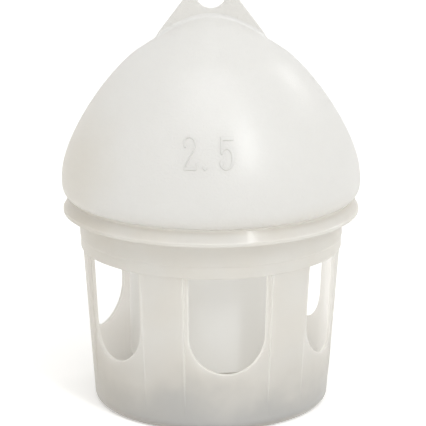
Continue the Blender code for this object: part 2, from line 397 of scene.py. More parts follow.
# %% [markdown]
# A copy of the sheet, one wall further back, becomes the inner face. Bridging the two window lines makes the
# jambs and the sill, and a small bevel on both lines gives them the rounded lip that catches the light. The
# faces between the two sheets are marked, because the cut edges get a lighter plastic later, a painted
# highlight.

# %% Wall thickness and rounded window edges
WINDOW_X = WINDOW_HALF_ANGLE * ROLL_RADIUS
ROUNDING = 0.6 * MM
CUT_EDGE = 1

copied = bmesh.ops.duplicate(sheet, geom=all_of(sheet))["geom"]
for vert in copied:
    if isinstance(vert, bmesh.types.BMVert):
        vert.co.y = WALL
window_edges = open_edges(
    sheet, lambda co: abs(co.x) < WINDOW_X + WELD and PANEL_FOOT + SUPPORT < co.z < WINDOW_TOP + WELD
)
bmesh.ops.bridge_loops(sheet, edges=window_edges)
bmesh.ops.recalc_face_normals(sheet, faces=sheet.faces)
bmesh.ops.bevel(sheet, geom=window_edges, offset=ROUNDING, segments=4, **BEVEL)
for face in sheet.faces:
    if WELD < face.calc_center_median().y < WALL - WELD:
        face.material_index = CUT_EDGE
print("sheet faces with both sides:", len(sheet.faces), "window edges:", len(window_edges))

# %% [markdown]
# ## Rolling the pattern into a tub
#
# Each point's place across the pattern becomes an angle, and its depth runs from the outer face to the plain
# inner face. The outer face is sunk inside the panel, and a low raised bead runs along the panel's sides and
# fades out towards the foot. One window is rolled, spun round to six, and welded into a ring.

# %% Roll and spin
INNER_FLOOR = FLOOR_TOP + FLOOR_CORNER
INNER_SQUEEZE = (PANEL_FOOT - INNER_FLOOR) / (PANEL_FOOT - FOOT_CORNER)


def smooth_share(value):
    """0 to 1 with soft ends."""
    value = max(0, min(1, value))
    return value * value * (3 - 2 * value)


def face_radius(azimuth, height):
    """Outer radius at a place on the pattern, sunk inside the panel's frame and raised along its edge."""
    past_frame = abs(azimuth) - PANEL_FRAME
    past_crest = (past_frame - PANEL_EDGE) * ROLL_RADIUS - BEAD_CREST
    bead = BEAD_RISE * smooth_share((height - BEAD_FOOT) / (2 * BEAD_FOOT))
    pillar = wall_radius(height) + bead * (1 - smooth_share(past_crest / BEAD_FALL))
    return panel_radius(height) + (pillar - panel_radius(height)) * smooth_share(past_frame / PANEL_EDGE)


def rolled(place):
    """A point of the flat pattern, wrapped round the tub. The inner face ends at the floor's corner."""
    azimuth = place.x / ROLL_RADIUS
    depth = place.y / WALL
    height = place.z
    outer = face_radius(azimuth, height)
    if height < PANEL_FOOT:
        height += depth * (PANEL_FOOT - height) * (1 - INNER_SQUEEZE)
    inner = panel_radius(height) - WALL
    radius = outer + (inner - outer) * depth
    turn = azimuth + WINDOW_TURN
    return Vector((radius * sin(turn), -radius * cos(turn), height))


for vert in sheet.verts:
    vert.co = rolled(vert.co)
bmesh.ops.spin(
    sheet, geom=all_of(sheet), cent=(0, 0, 0), axis=(0, 0, 1), angle=2 * pi * (WINDOW_COUNT - 1) / WINDOW_COUNT,
    steps=WINDOW_COUNT - 1, use_merge=False, use_duplicate=True,
)
bmesh.ops.remove_doubles(sheet, verts=sheet.verts, dist=WELD)
print("ring faces:", len(sheet.faces), "open edges:", len(open_edges(sheet)))

# %% [markdown]
# ## Band, rim and floor
#
# The ring has four open loops. The outer top loop is carried round the band, the seat that the tank stands on
# and the turned-down skirt, and back down to the inner top loop. The two bottom loops run under the foot and
# over the floor to the middle, where they close. Under the floor, a small pip in a dimple is where the
# plastic was fed into the mould.

# %% Outlines of the band, the foot and the floor
BAND_FOOT = WINDOW_TOP + 0.4 * MM
BAND_SLOPE = 1 * MM
LIP_EDGE = 0.4 * MM
DIMPLE_RADIUS = 5 * MM
DIMPLE_SLOPE = 1 * MM
DIMPLE_DEPTH = 0.7 * MM
PIP_RADIUS = 1.3 * MM
PIP_SLOPE = 0.2 * MM
PIP_END = FOOT_RECESS + 0.1 * MM

inner_top = panel_radius(SHEET_TOP) - WALL
outside_up = [
    (wall_radius(BAND_FOOT), SHEET_TOP, 0),
    (BAND_RADIUS, BAND_FOOT + BAND_SLOPE, 0.5 * MM),
    (BAND_RADIUS, WINDOW_TOP + STEP_HEIGHT, 0.5 * MM),
    (BAND_RADIUS + STEP_PROUD, WINDOW_TOP + STEP_HEIGHT + STEP_RISE, 0.4 * MM),
    (BAND_RADIUS + STEP_PROUD, SEAT_HEIGHT - WALL, 0.8 * MM),
    (SEAT_RADIUS - WALL / 2, SEAT_HEIGHT - WALL, 0.6 * MM),
    (SKIRT_RADIUS - WALL, LIP_TOP, 0.4 * MM),
    (LIP_RADIUS - WALL, LIP_TOP - LIP_HEIGHT, 0.3 * MM),
    (LIP_RADIUS, LIP_TOP - LIP_HEIGHT, 0.6 * MM),
    (LIP_RADIUS, LIP_TOP - LIP_EDGE, 0.25 * MM),
    (SKIRT_RADIUS, LIP_TOP, 0.25 * MM),
    (SEAT_RADIUS, SEAT_HEIGHT, 0.9 * MM),
    (SOCKET_RADIUS, SEAT_HEIGHT, 0.8 * MM),
    (SOCKET_RADIUS, BAND_FOOT + WALL + BAND_SLOPE, 0.8 * MM),
    (inner_top, BAND_FOOT + WALL, 0.6 * MM),
    (inner_top, SHEET_TOP, 0),
]
foot_outer = wall_radius(FOOT_CORNER) - FOOT_CORNER
foot_inner = foot_outer - FOOT_RING
underside = arc((foot_outer, FOOT_CORNER), FOOT_CORNER, 0, -90, steps=8)[1:]
underside += supported(rounded([
    (foot_outer, 0, 0),
    (foot_inner, 0, 0.4 * MM),
    (foot_inner - FOOT_RECESS, FOOT_RECESS, 0.5 * MM),
    (DIMPLE_RADIUS, FOOT_RECESS, 0.6 * MM),
    (DIMPLE_RADIUS - DIMPLE_SLOPE, FOOT_RECESS + DIMPLE_DEPTH, 0.5 * MM),
    (PIP_RADIUS, FOOT_RECESS + DIMPLE_DEPTH, 0.2 * MM),
    (PIP_RADIUS - PIP_SLOPE, PIP_END, 0.2 * MM),
    (0, PIP_END, 0),
]))[1:]
floor_radius = wall_radius(INNER_FLOOR) - WALL - FLOOR_CORNER
inside_floor = arc((floor_radius, INNER_FLOOR), FLOOR_CORNER, 0, -90, steps=6)[1:]
inside_floor += [Vector((radius, FLOOR_TOP)) for radius in (floor_radius - SUPPORT, floor_radius / 2, 0)]
print("outline points of band, underside and floor:", len(outside_up), len(underside), len(inside_floor))

# %% Close the tub
BETWEEN_LOOPS = 76.5 * MM
TUB_MERGE = 0.02 * MM

outer_top = open_edges(sheet, lambda co: co.z > SHEET_TOP - WELD and hypot(co.x, co.y) > BETWEEN_LOOPS)
carry_on(sheet, outer_top, supported(rounded(outside_up)))
carry_on(sheet, open_edges(sheet, lambda co: abs(co.z - FOOT_CORNER) < WELD), underside)
carry_on(sheet, open_edges(sheet, lambda co: abs(co.z - INNER_FLOOR) < WELD), inside_floor)
weld(sheet, TUB_MERGE)
tub = make_piece("tub_shell", sheet, "tub")
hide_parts("tub")

# %% [markdown]
# ## The tank's outline
#
# The dome is two smooth curves that meet at its knee, and a third tucks it in to the face that rests on the
# tub. Under that come the plug that drops into the band, a sloping shoulder, and the open neck. Heights are
# measured up from the resting face.

# %% Tank sizes and outline
tank_low, tank_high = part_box("tank")
TANK_BASE = SEAT_HEIGHT + 0.3 * MM
TANK_WALL = 1.8 * MM
DOME_RADIUS = tank_high.x
DOME_HEIGHT = 110.6 * MM
KNEE = Vector((45 * MM, 89.9 * MM))
KNEE_SLOPE = Vector((cos(radians(33.3)), -sin(radians(33.3))))
WIDEST = Vector((DOME_RADIUS, 11.3 * MM))
REST_EDGE = DOME_RADIUS - 9.7 * MM
CREST_PULL = 15.1 * MM
KNEE_PULL_UP = 20.8 * MM
KNEE_PULL_DOWN = 18.6 * MM
SIDE_PULL = Vector((0, 26.5 * MM))
TUCK_PULL = 7.6 * MM
PLUG_RADIUS = SOCKET_RADIUS - 0.6 * MM
PLUG_DEPTH = 9 * MM
PLUG_CORNER = 2.5 * MM
SHOULDER_HEIGHT = 18 * MM
NECK_RADIUS = 50.6 * MM
NECK_END = tank_low.z - TANK_BASE

dome_line = bezier(
    (0, DOME_HEIGHT), (CREST_PULL, DOME_HEIGHT), KNEE - KNEE_SLOPE * KNEE_PULL_UP, KNEE, steps=44
)
dome_line += bezier(KNEE, KNEE + KNEE_SLOPE * KNEE_PULL_DOWN, WIDEST + SIDE_PULL, WIDEST, steps=34)[1:]
tuck = bezier(
    WIDEST, WIDEST - Vector((0, TUCK_PULL)), (REST_EDGE + TUCK_PULL, 0), (REST_EDGE, 0), steps=12
)[1:]
plug = supported(rounded([
    (REST_EDGE, 0, 0),
    (PLUG_RADIUS, 0, 0.6 * MM),
    (PLUG_RADIUS, PLUG_CORNER - PLUG_DEPTH, 0),
]))[1:]
plug += arc((PLUG_RADIUS - PLUG_CORNER, PLUG_CORNER - PLUG_DEPTH), PLUG_CORNER, 0, -90, steps=6)[1:]
plug += supported(rounded([
    (PLUG_RADIUS - PLUG_CORNER, -PLUG_DEPTH, 0),
    (NECK_RADIUS, -PLUG_DEPTH - SHOULDER_HEIGHT, 2.4 * MM),
    (NECK_RADIUS, NECK_END, 0),
]))[1:]
dome_radii = [point.x for point in dome_line]
print("outline points:", len(dome_line) + len(tuck) + len(plug))


def find_span(keys, value):
    """The index after a value in a rising list, and how far the value lies along that span."""
    after = max(1, min(bisect_left(keys, value), len(keys) - 1))
    return after, (value - keys[after - 1]) / (keys[after] - keys[after - 1])


def dome_height(radius):
    """World height of the dome's outer face at a distance from the axis."""
    after, share = find_span(dome_radii, radius)
    low, high = dome_line[after - 1], dome_line[after]
    return TANK_BASE + low.y + (high.y - low.y) * share


# %% [markdown]
# ## Spinning the tank
#
# A blown tank is one skin of even thickness, so its outside is spun from the outline and then given its wall
# inwards. The mould opens along Y, and where its halves met, a fine raised line runs over the dome in the
# plane of the lug. Two cuts, one on each side of that plane, give the mesh the points that the line needs.

# %% Tank skin
TANK_STEPS = 216
LINE_HALF_WIDTH = 0.35 * MM
LINE_PROUD = 0.1 * MM
MOUTH_ROUNDING = 0.2 * MM
HARD_TURN = 1  # radians

skin = bmesh.new()
verts = [skin.verts.new((point.x, 0, point.y + TANK_BASE)) for point in dome_line + tuck + plug]
edges = [skin.edges.new(pair) for pair in zip(verts, verts[1:])]
bmesh.ops.spin(
    skin, geom=verts + edges, cent=(0, 0, 0), axis=(0, 0, 1), angle=2 * pi, steps=TANK_STEPS, use_merge=True
)
weld(skin)
for offset in (-LINE_HALF_WIDTH, LINE_HALF_WIDTH):
    bmesh.ops.bisect_plane(skin, geom=all_of(skin), dist=WELD, plane_co=(0, offset, 0), plane_no=(0, 1, 0))
skin.normal_update()
for vert in skin.verts:
    if abs(vert.co.y) < WELD and vert.co.z > TANK_BASE - PLUG_DEPTH:
        vert.co += vert.normal * LINE_PROUD
        vert.co.x = max(-DOME_RADIUS, min(DOME_RADIUS, vert.co.x))
bmesh.ops.solidify(skin, geom=skin.faces[:], thickness=TANK_WALL)
mouth = [
    edge for edge in skin.edges
    if all(abs(vert.co.z - tank_low.z) < WELD for vert in edge.verts)
    and edge.calc_face_angle(0) > HARD_TURN
]
bmesh.ops.bevel(skin, geom=mouth, offset=MOUTH_ROUNDING, segments=3, **BEVEL)
print("skin faces:", len(skin.faces), "widest:", round(max(vert.co.x for vert in skin.verts) / MM, 2))

# %% [markdown]
# ## The hanging lug
#
# The lug is a flat plate pinched from the same plastic, with a round eye. Half of its front is drawn as one
# face, mirrored, given its thickness and bevelled. Its foot is then flared out in a small fillet that meets
# the dome, and zipped shut under the dome's surface, so that one Boolean can weld the two closed shells.

# %% Lug sizes and front
LUG_THICKNESS = 3.9 * MM
LEAN_DEGREES = 37
LUG_LEAN = radians(LEAN_DEGREES)
LUG_HALF_WIDTH = 24.9 * MM
LUG_FILLET = 10 * MM
LUG_ROUNDING = 0.9 * MM
EYE_HOLE = 9.3 * MM
EYE_RADIUS = 15.5 * MM
EYE_CENTRE = Vector((0, tank_high.z - EYE_RADIUS))
FOOT_FILLET = 2.6 * MM
FOOT_STEPS = 24
FOOT_SEARCH = 0.01 * MM
CREST = TANK_BASE + DOME_HEIGHT

outward = Vector((cos(LUG_LEAN), sin(LUG_LEAN)))
upward = Vector((-sin(LUG_LEAN), cos(LUG_LEAN)))
side_point = Vector((LUG_HALF_WIDTH, CREST))
out = LUG_FILLET + outward.dot(side_point - EYE_CENTRE)
reach = EYE_RADIUS + LUG_FILLET
fillet_centre = EYE_CENTRE + outward * out - upward * sqrt(reach * reach - out * out)
fillet_start = 180 + LEAN_DEGREES
fillet_end = fillet_start - acos(out / reach) * 180 / pi
side = arc(fillet_centre, LUG_FILLET, fillet_start, fillet_end, steps=10)
side += arc(EYE_CENTRE, EYE_RADIUS, fillet_end - 180, 90, steps=28)[1:]
hole = arc(EYE_CENTRE, EYE_HOLE, 90, -90, steps=32)


def foot_line_height(x):
    """Height of the plate's lower edge, a fillet above the dome."""
    return dome_height(hypot(x, LUG_THICKNESS / 2)) + FOOT_FILLET


foot_end = LUG_HALF_WIDTH
while LUG_HALF_WIDTH + (CREST - foot_line_height(foot_end)) * tan(LUG_LEAN) > foot_end:
    foot_end += FOOT_SEARCH
foot_line = [foot_end * step / FOOT_STEPS for step in range(FOOT_STEPS + 1)]
foot_line = [Vector((x, foot_line_height(x))) for x in foot_line]

lug = bmesh.new()
lug.faces.new([lug.verts.new((x, -LUG_THICKNESS / 2, z)) for x, z in foot_line + side + hole])
bmesh.ops.mirror(lug, geom=all_of(lug), axis="X", merge_dist=WELD)
weld(lug)
print("lug foot half width in mm:", round(foot_end / MM, 2), "faces:", len(lug.faces))

# %% Lug thickness and rounded edges
grown = bmesh.ops.extrude_face_region(lug, geom=lug.faces[:], use_keep_orig=True)["geom"]
for vert in grown:
    if isinstance(vert, bmesh.types.BMVert):
        vert.co.y += LUG_THICKNESS
bmesh.ops.recalc_face_normals(lug, faces=lug.faces)
foot_faces = [
    face for face in lug.faces
    if len(face.verts) == 4
    and all(abs(vert.co.z - foot_line_height(abs(vert.co.x))) < WELD for vert in face.verts)
]
bmesh.ops.delete(lug, geom=foot_faces, context="FACES")
corners = [
    edge for edge in lug.edges if len(edge.link_faces) == 2 and edge.calc_face_angle(0) > HARD_TURN
]
bmesh.ops.bevel(lug, geom=corners, offset=LUG_ROUNDING, segments=4, **BEVEL)
print("foot faces removed:", len(foot_faces), "edges bevelled:", len(corners))

# %% Fillet at the lug's foot
FILLET_STEPS = 6
FILLET_CLEAR = 0.01 * MM
SUNK = 0.6 * MM
SUNK_MIDDLE = 0.9 * MM
core = Vector((foot_end - LUG_ROUNDING, LUG_THICKNESS / 2 - LUG_ROUNDING))


def flared(start):
    """The places that a point of the plate's lower edge moves through: a fillet, then under the dome."""
    flat = start.xy
    nearest = Vector((max(-core.x, min(core.x, flat.x)), max(-core.y, min(core.y, flat.y))))
    away = (flat - nearest).normalized()
    drop = start.z - dome_height(flat.length)
    bend = flat + away * drop * tan(LUG_LEAN) * abs(away.x)
    rest = bend + away * FOOT_FILLET
    touch = Vector((bend.x, bend.y, dome_height(bend.length)))
    end = Vector((rest.x, rest.y, dome_height(rest.length) + FILLET_CLEAR))
    shares = [step / FILLET_STEPS for step in range(1, FILLET_STEPS + 1)]
    places = [start.lerp(touch, share).lerp(touch.lerp(end, share), share) for share in shares]
    places.append(Vector((rest.x, rest.y, dome_height(rest.length) - SUNK)))
    places.append(Vector((rest.x, 0, dome_height(abs(rest.x)) - SUNK_MIDDLE)))
    return places


number = lug.verts.layers.int.new("number")
foot_loop = open_edges(lug)
flares = []
for vert in dict.fromkeys(vert for edge in foot_loop for vert in edge.verts):
    vert[number] = len(flares)
    flares.append(flared(vert.co.copy()))
for step in range(FILLET_STEPS + 2):
    foot_loop = extrude_row(lug, foot_loop, lambda vert: flares[vert[number]][step])
weld(lug)
print("foot loop:", len(flares), "lug faces:", len(lug.faces), "open edges:", len(open_edges(lug)))

# %% [markdown]
# The two shells are joined with an exact Boolean. The fillet already runs out along the dome, so the seam
# needs no more than a merge of the points that lie almost on each other. The plate's own faces are marked,
# because the pinched plastic gets its own look later.

# %% Join lug and dome
SEAM_MERGE = 0.04 * MM
ABOVE_DOME = 0.3 * MM
LUG_SKIN = 1

skin_object = shape_object("skin_helper", skin)
lug_object = shape_object("lug_helper", lug)
union = skin_object.modifiers.new("union", "BOOLEAN")
union.operation = "UNION"
union.solver = "EXACT"
union.object = lug_object
bpy.context.view_layer.update()
joined = bmesh.new()
joined.from_object(skin_object, bpy.context.evaluated_depsgraph_get())
for helper in (skin_object, lug_object):
    bpy.data.objects.remove(helper, do_unlink=True)
bmesh.ops.remove_doubles(joined, verts=joined.verts, dist=SEAM_MERGE)
for face in joined.faces:
    x, y, z = face.calc_center_median()
    on_plate = abs(x) < foot_end and abs(y) < LUG_THICKNESS / 2 + WELD
    if on_plate and z > dome_height(hypot(x, y)) + ABOVE_DOME:
        face.material_index = LUG_SKIN
print("lug faces on the tank:", sum(face.material_index == LUG_SKIN for face in joined.faces))
tank = make_piece("tank_shell", joined, "tank")
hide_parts("tank")

# %% [markdown]
# ## Raised numerals
#
# The dome carries its capacity in plain raised numerals. Each numeral is a flat curve: round points have
# automatic handles and corners have straight ones. The curve is filled, given thickness and a soft edge, made
# a mesh, cut into millimetre strips so that it can bend, and laid on the dome along the mould's opening.

# %% Numeral outlines
NUMERAL_EDGE = 0.3 * MM
NUMERAL_DEPTH = 0.2 * MM
TWO = """
-14.5 12.0 r, -15.3 11.7 r, -16.1 13.6 r, -15.3 16.6 r, -12.8 17.8 r, -10.0 16.9 r, -8.8 14.3 r, -9.3 11.3 r,
-11.7 7.0 r, -14.0 3.4 r, -14.9 1.5 c, -9.4 1.5 c, -8.9 3.8 c, -8.2 3.8 c, -8.3 -0.1 c, -16.0 -0.1 c,
-15.6 1.9 c, -14.9 3.6 r, -12.6 7.3 r, -10.3 11.4 r, -9.8 14.3 r, -10.8 16.2 r, -12.8 16.9 r, -14.6 16.0 r,
-15.1 13.9 r, -14.5 12.9 r
"""
POINT = "-4.9 1.4 r, -3.5 2.9 r, -2.1 1.4 r, -3.5 -0.1 r"
FIVE = """
5.4 17.8 c, 13.1 17.8 c, 12.9 15.5 c, 6.8 15.6 c, 6.7 10.9 c, 8.0 11.6 r, 9.8 11.9 r, 12.6 10.2 r, 13.7 6.1 r,
12.5 1.9 r, 9.1 -0.1 r, 6.3 1.0 r, 5.0 3.2 r, 5.4 5.0 r, 6.6 5.3 r, 7.7 4.4 r, 7.2 3.0 r, 6.9 2.3 r, 7.7 1.2 r,
9.1 0.8 r, 11.0 2.3 r, 11.7 6.0 r, 11.0 9.5 r, 9.3 10.9 r, 7.4 9.9 r, 6.6 8.4 r, 6.0 8.2 r, 5.5 8.7 r
"""
HANDLES = {"r": "AUTO", "c": "VECTOR"}


def numeral_curve(data, text):
    """Adds a closed spline. Each point is its x and height in millimetres, and r for round or c for corner."""
    points = [point.split() for point in text.replace("\n", " ").split(",")]
    spline = data.splines.new("BEZIER")
    spline.use_cyclic_u = True
    spline.bezier_points.add(len(points) - 1)
    for knot, (x, height, kind) in zip(spline.bezier_points, points):
        knot.co = (float(x) * MM, float(height) * MM, 0)
        knot.handle_left_type = knot.handle_right_type = HANDLES[kind]


curve_data = bpy.data.curves.new("numeral_lines", "CURVE")
curve_data.dimensions = "2D"
curve_data.fill_mode = "BOTH"
curve_data.resolution_u = 5
curve_data.extrude = NUMERAL_DEPTH
curve_data.bevel_depth = NUMERAL_EDGE
curve_data.bevel_resolution = 2
curve_data.offset = -NUMERAL_EDGE
for text in (TWO, POINT, FIVE):
    numeral_curve(curve_data, text)
curve_object = place_object("numeral_lines", curve_data)
bpy.context.view_layer.update()
flat_mesh = bpy.data.meshes.new_from_object(curve_object.evaluated_get(bpy.context.evaluated_depsgraph_get()))
bpy.data.objects.remove(curve_object, do_unlink=True)
print("flat numeral faces:", len(flat_mesh.polygons))

# %% Lay the numerals on the dome
NUMERAL_BASE = 165.6 * MM
RAISED = 0.1 * MM
STRIPS = (((1, 0, 0), -16.5, 31), ((0, 1, 0), 0.5, 18))
NUMERAL_SIDE = 1
FRONT_NORMAL = 0.9
heights = [point.y + TANK_BASE for point in reversed(dome_line)]
radii = [point.x for point in reversed(dome_line)]


def laid_on_dome(place):
    """A point of the flat numerals, moved to the front of the dome and lifted along the dome's normal."""
    x, height, lift = place
    z = NUMERAL_BASE + height
    after, share = find_span(heights, z)
    rise = heights[after] - heights[after - 1]
    radius = radii[after - 1] + (radii[after] - radii[after - 1]) * share
    across = Vector((rise, radii[after - 1] - radii[after])).normalized()
    y = -sqrt(radius * radius - x * x)
    normal = Vector((across.x * x / radius, across.x * y / radius, across.y))
    return Vector((x, y, z)) + normal * (lift + RAISED)


numerals = bmesh.new()
numerals.from_mesh(flat_mesh)
bmesh.ops.remove_doubles(numerals, verts=numerals.verts, dist=WELD)
for axis, first, count in STRIPS:
    for step in range(count):
        cut = Vector(axis) * (first + step) * MM
        bmesh.ops.bisect_plane(numerals, geom=all_of(numerals), dist=WELD, plane_co=cut, plane_no=axis)
bmesh.ops.recalc_face_normals(numerals, faces=numerals.faces)
# The side faces get a darker plastic later, a painted shade along the numerals' steep sides.
for face in numerals.faces:
    if abs(face.normal.z) < FRONT_NORMAL:
        face.material_index = NUMERAL_SIDE
for vert in numerals.verts:
    vert.co = laid_on_dome(vert.co)
bmesh.ops.recalc_face_normals(numerals, faces=numerals.faces)
capacity = make_piece("tank_numerals", numerals, "tank")

# %% [markdown]
# ## Writing shader maths as sums
#
# A pattern is easier to read as a sum than as a picture of boxes. This class holds one output of a node.
# Adding or multiplying two of them adds the Math node, and one method adds every other kind of node.

# %% Wires
class Wire:
    """An output of a node that can be written into sums, such as 1 - speckle * 0.2."""

    def __init__(self, tree, socket=None):
        self.tree = tree
        self.socket = socket

    def node(self, kind, settings=None, values=None, output=0):
        """Adds a node: its settings first, then the values or wires of its sockets."""
        made = self.tree.nodes.new(kind)
        for name, value in (settings or {}).items():
            setattr(made, name, value)
        for name, value in (values or {}).items():
            if isinstance(value, Wire):
                self.tree.links.new(value.socket, made.inputs[name])
            else:
                made.inputs[name].default_value = value
        return Wire(self.tree, made.outputs[output]) if made.outputs else None

    def math(self, operation, first, second):
        return self.node("ShaderNodeMath", {"operation": operation}, {0: first, 1: second})

    def __add__(self, other):
        return self.math("ADD", self, other)

    def __radd__(self, other):
        return self.math("ADD", other, self)

    def __sub__(self, other):
        return self.math("SUBTRACT", self, other)

    def __rsub__(self, other):
        return self.math("SUBTRACT", other, self)

    def __mul__(self, other):
        return self.math("MULTIPLY", self, other)

    def __rmul__(self, other):
        return self.math("MULTIPLY", other, self)


# %% [markdown]
# The helpers below are the few steps that the materials share: noise, a soft ramp between two values, mixes
# of colours and of shaders, and the moulded plastic itself, a coated gloss with a share of light that passes
# through the wall.

# %% Material helpers
PLASTIC_IOR = 1.5


def start_nodes(owner):
    """Clears the nodes of a material or a world, and returns the wire to start its nodes from."""
    owner.use_nodes = True
    owner.node_tree.nodes.clear()
    return Wire(owner.node_tree)


def noise(place, scale, detail, roughness):
    values = {"Vector": place, "Scale": scale, "Detail": detail, "Roughness": roughness}
    return place.node("ShaderNodeTexNoise", {}, values)


def along(place, axis):
    return place.node("ShaderNodeSeparateXYZ", {}, {"Vector": place}, axis)


def larger(first, second):
    return first.math("MAXIMUM", first, second)


def ramp(value, low, high):
    """0 where the value is low, 1 where it is high, with soft ends. Low may be the larger number."""
    return value.node("ShaderNodeMapRange", {"interpolation_type": "SMOOTHSTEP"}, {
        "Value": value, "From Min": low, "From Max": high, "To Min": 0, "To Max": 1,
    })


def mix_colours(share, first, second):
    """Blends two colours, each of them a wire or three numbers."""
    first, second = (colour if isinstance(colour, Wire) else (*colour, 1) for colour in (first, second))
    return share.node("ShaderNodeMix", {"data_type": "RGBA"}, {0: share, 6: first, 7: second}, output=2)


def mix_shaders(share, first, second):
    return first.node("ShaderNodeMixShader", {}, {0: share, 1: first, 2: second})


def relief_of(height, strength, distance):
    return height.node("ShaderNodeBump", {}, {"Strength": strength, "Distance": distance, "Height": height})


def moulded_plastic(colour, roughness, relief, coat, glow_colour, glow_share):
    """A coated gloss over the colour, and a share of light that passes through the wall."""
    skin = colour.node("ShaderNodeBsdfPrincipled", {}, {
        "Base Color": colour,
        "Roughness": roughness,
        "IOR": PLASTIC_IOR,
        "Specular IOR Level": 1.0,
        "Normal": relief,
        **coat,
    })
    glow = colour.node("ShaderNodeBsdfTranslucent", {}, {"Color": (*glow_colour, 1), "Normal": relief})
    surface = mix_shaders(glow_share, skin, glow)
    surface.node("ShaderNodeOutputMaterial", {}, {"Surface": surface})


def wear(piece, skins):
    """Gives a piece its materials, in the order of its faces' material numbers."""
    for material in skins:
        piece.data.materials.append(material)
    print(piece.name, "wears", [material.name for material in skins])


# %% [markdown]
# ## Tank plastic
#
# The tank is milky polyethylene with the satin skin that a sand-blasted mould leaves: fine pebbles about a
# millimetre apart, soft gloss, and faint clouds where the wall came out thicker or thinner. Its left, away
# from the key light, and its curl in over the seat carry a yellow painted shade. Its neck inside the tub gets
# a painted light that makes it whiter, and the neck is also smoother. The pinched lug is denser and greyer,
# and a painted shade darkens the sides of the numerals, so that they read against the dome.

# %% Tank material
CLOUD_SIZE = {"scale": 28, "detail": 3, "roughness": 0.55}
FLECK_SIZE = {"scale": 420, "detail": 2, "roughness": 0.6}
GRAIN_SIZE = {"scale": 1300, "detail": 2, "roughness": 0.6}
PEBBLE_SIZE = {"Scale": 800, "Smoothness": 0.7}
CURL_SHADE = (142 * MM, 128 * MM)
CURL_SHADE_WANDER = 12 * MM
TANK_SHADED_LEFT = (-45 * MM, -95 * MM)
TANK_SHADED_LEFT_WANDER = 30 * MM
NECK_LIGHT_AND_SMOOTH = (122 * MM, 108 * MM)
TANK_SHADE_YELLOW = (0.73, 0.675, 0.575)
NECK_PAINTED_LIGHT = (0.975, 0.972, 0.96)
TANK_GLOW = (0.985, 0.983, 0.975)
TANK_COAT = {"Coat Weight": 1.0, "Coat Roughness": 0.33, "Coat IOR": 1.65}


def tank_plastic(name, thin, thick, glow_share):
    material = bpy.data.materials.new(name)
    place = start_nodes(material).node("ShaderNodeTexCoord", {}, {}, "Object")
    height = along(place, "Z")
    cloud = noise(place, **CLOUD_SIZE)
    fleck = noise(place, **FLECK_SIZE)
    pebble = place.node(
        "ShaderNodeTexVoronoi", {"feature": "SMOOTH_F1"}, {"Vector": place, **PEBBLE_SIZE}, "Distance"
    )
    grain = noise(place, **GRAIN_SIZE)
    # Painted shade: a yellow tint where the tank curls in over the seat, and on its left, away from the key
    # light.
    curl_painted_shade = ramp(height + (cloud - 0.5) * CURL_SHADE_WANDER, *CURL_SHADE)
    left_painted_shade = ramp(along(place, "X") + (cloud - 0.5) * TANK_SHADED_LEFT_WANDER, *TANK_SHADED_LEFT)
    # Painted light: the neck inside the tub turns whiter. The same mask also smooths the neck's grain.
    neck_light_and_smooth = ramp(height, *NECK_LIGHT_AND_SMOOTH)
    colour = mix_colours(cloud * 0.7 + fleck * 0.3, thin, thick)
    colour = mix_colours(larger(curl_painted_shade * 0.5, left_painted_shade * 0.75), colour, TANK_SHADE_YELLOW)
    colour = mix_colours(neck_light_and_smooth, colour, NECK_PAINTED_LIGHT)
    relief = relief_of((pebble * 0.8 + grain * 0.4) * (1 - neck_light_and_smooth * 0.9), strength=0.8, distance=0.24 * MM)
    roughness = 0.4 + cloud * 0.08 + fleck * 0.06
    moulded_plastic(colour, roughness, relief, TANK_COAT, TANK_GLOW, glow_share)
    return material


milky = tank_plastic("milky_satin_plastic", (0.822, 0.816, 0.803), (0.872, 0.868, 0.857), 0.58)
pinched = tank_plastic("pinched_lug_plastic", (0.74, 0.725, 0.69), (0.78, 0.765, 0.735), 0.38)
# Painted shade: the numerals' sides are darker, so that they read against the dome.
numeral_side_shade = tank_plastic("numeral_side_painted_shade", (0.66, 0.65, 0.62), (0.70, 0.69, 0.66), 0.32)
wear(tank, (milky, pinched))
wear(capacity, (milky, numeral_side_shade))

# %% [markdown]
# ## Tub plastic
#
# The tub is the natural colour of the plastic, slightly beige, glossier than the tank, and lets more light
# through. Injection moulding leaves faint flow streaks that run up the wall from the gate under the floor,
# and soft clouds. A painted shade turns the outer wall cooler and darker towards the floor, and a painted
# contact shadow draws a brown line along the very foot. A yellow painted shade lies on the seat where the
# tank rests, inside the trough and on the left side, away from the key light. The cut window edges wear a
# lighter plastic of their own, a painted highlight.

# %% Tub material
TUB_CLOUD_SIZE = {"scale": 26, "detail": 3, "roughness": 0.55}
STREAK_SCALE = (240, 240, 16)
STREAK_SIZE = {"scale": 1, "detail": 2, "roughness": 0.5}
RIPPLE_SIZE = {"scale": 70, "detail": 2, "roughness": 0.5}
MOTTLE = (0.36, 0.64)
WALL_TAPER = 0.069
OUTER_WALL = (71.3 * MM, 71.8 * MM)
UNDERSIDE = (3.68 * MM, 3.62 * MM)
LOW_WALL_SHADE = (42 * MM, 6 * MM)
LOW_WALL_SHADE_WANDER = 60 * MM
FOOT_CONTACT_SHADOW = (6.5 * MM, 1 * MM)
TUB_SHADED_LEFT = (-25 * MM, -85 * MM)
SEAT_SHADE = (126.2 * MM, 129 * MM)
TROUGH_SHADE = (58 * MM, 26 * MM)
TUB_SHADE_WANDER = 40 * MM
LOW_WALL_SHADE_GREY = (0.415, 0.445, 0.485)
TUB_SHADE_YELLOW = (0.56, 0.505, 0.42)
FOOT_SHADOW_BROWN = (0.34, 0.29, 0.235)
TUB_GLOW = (0.985, 0.975, 0.952)
TUB_COAT = {"Coat Weight": 0.9, "Coat Roughness": 0.12}


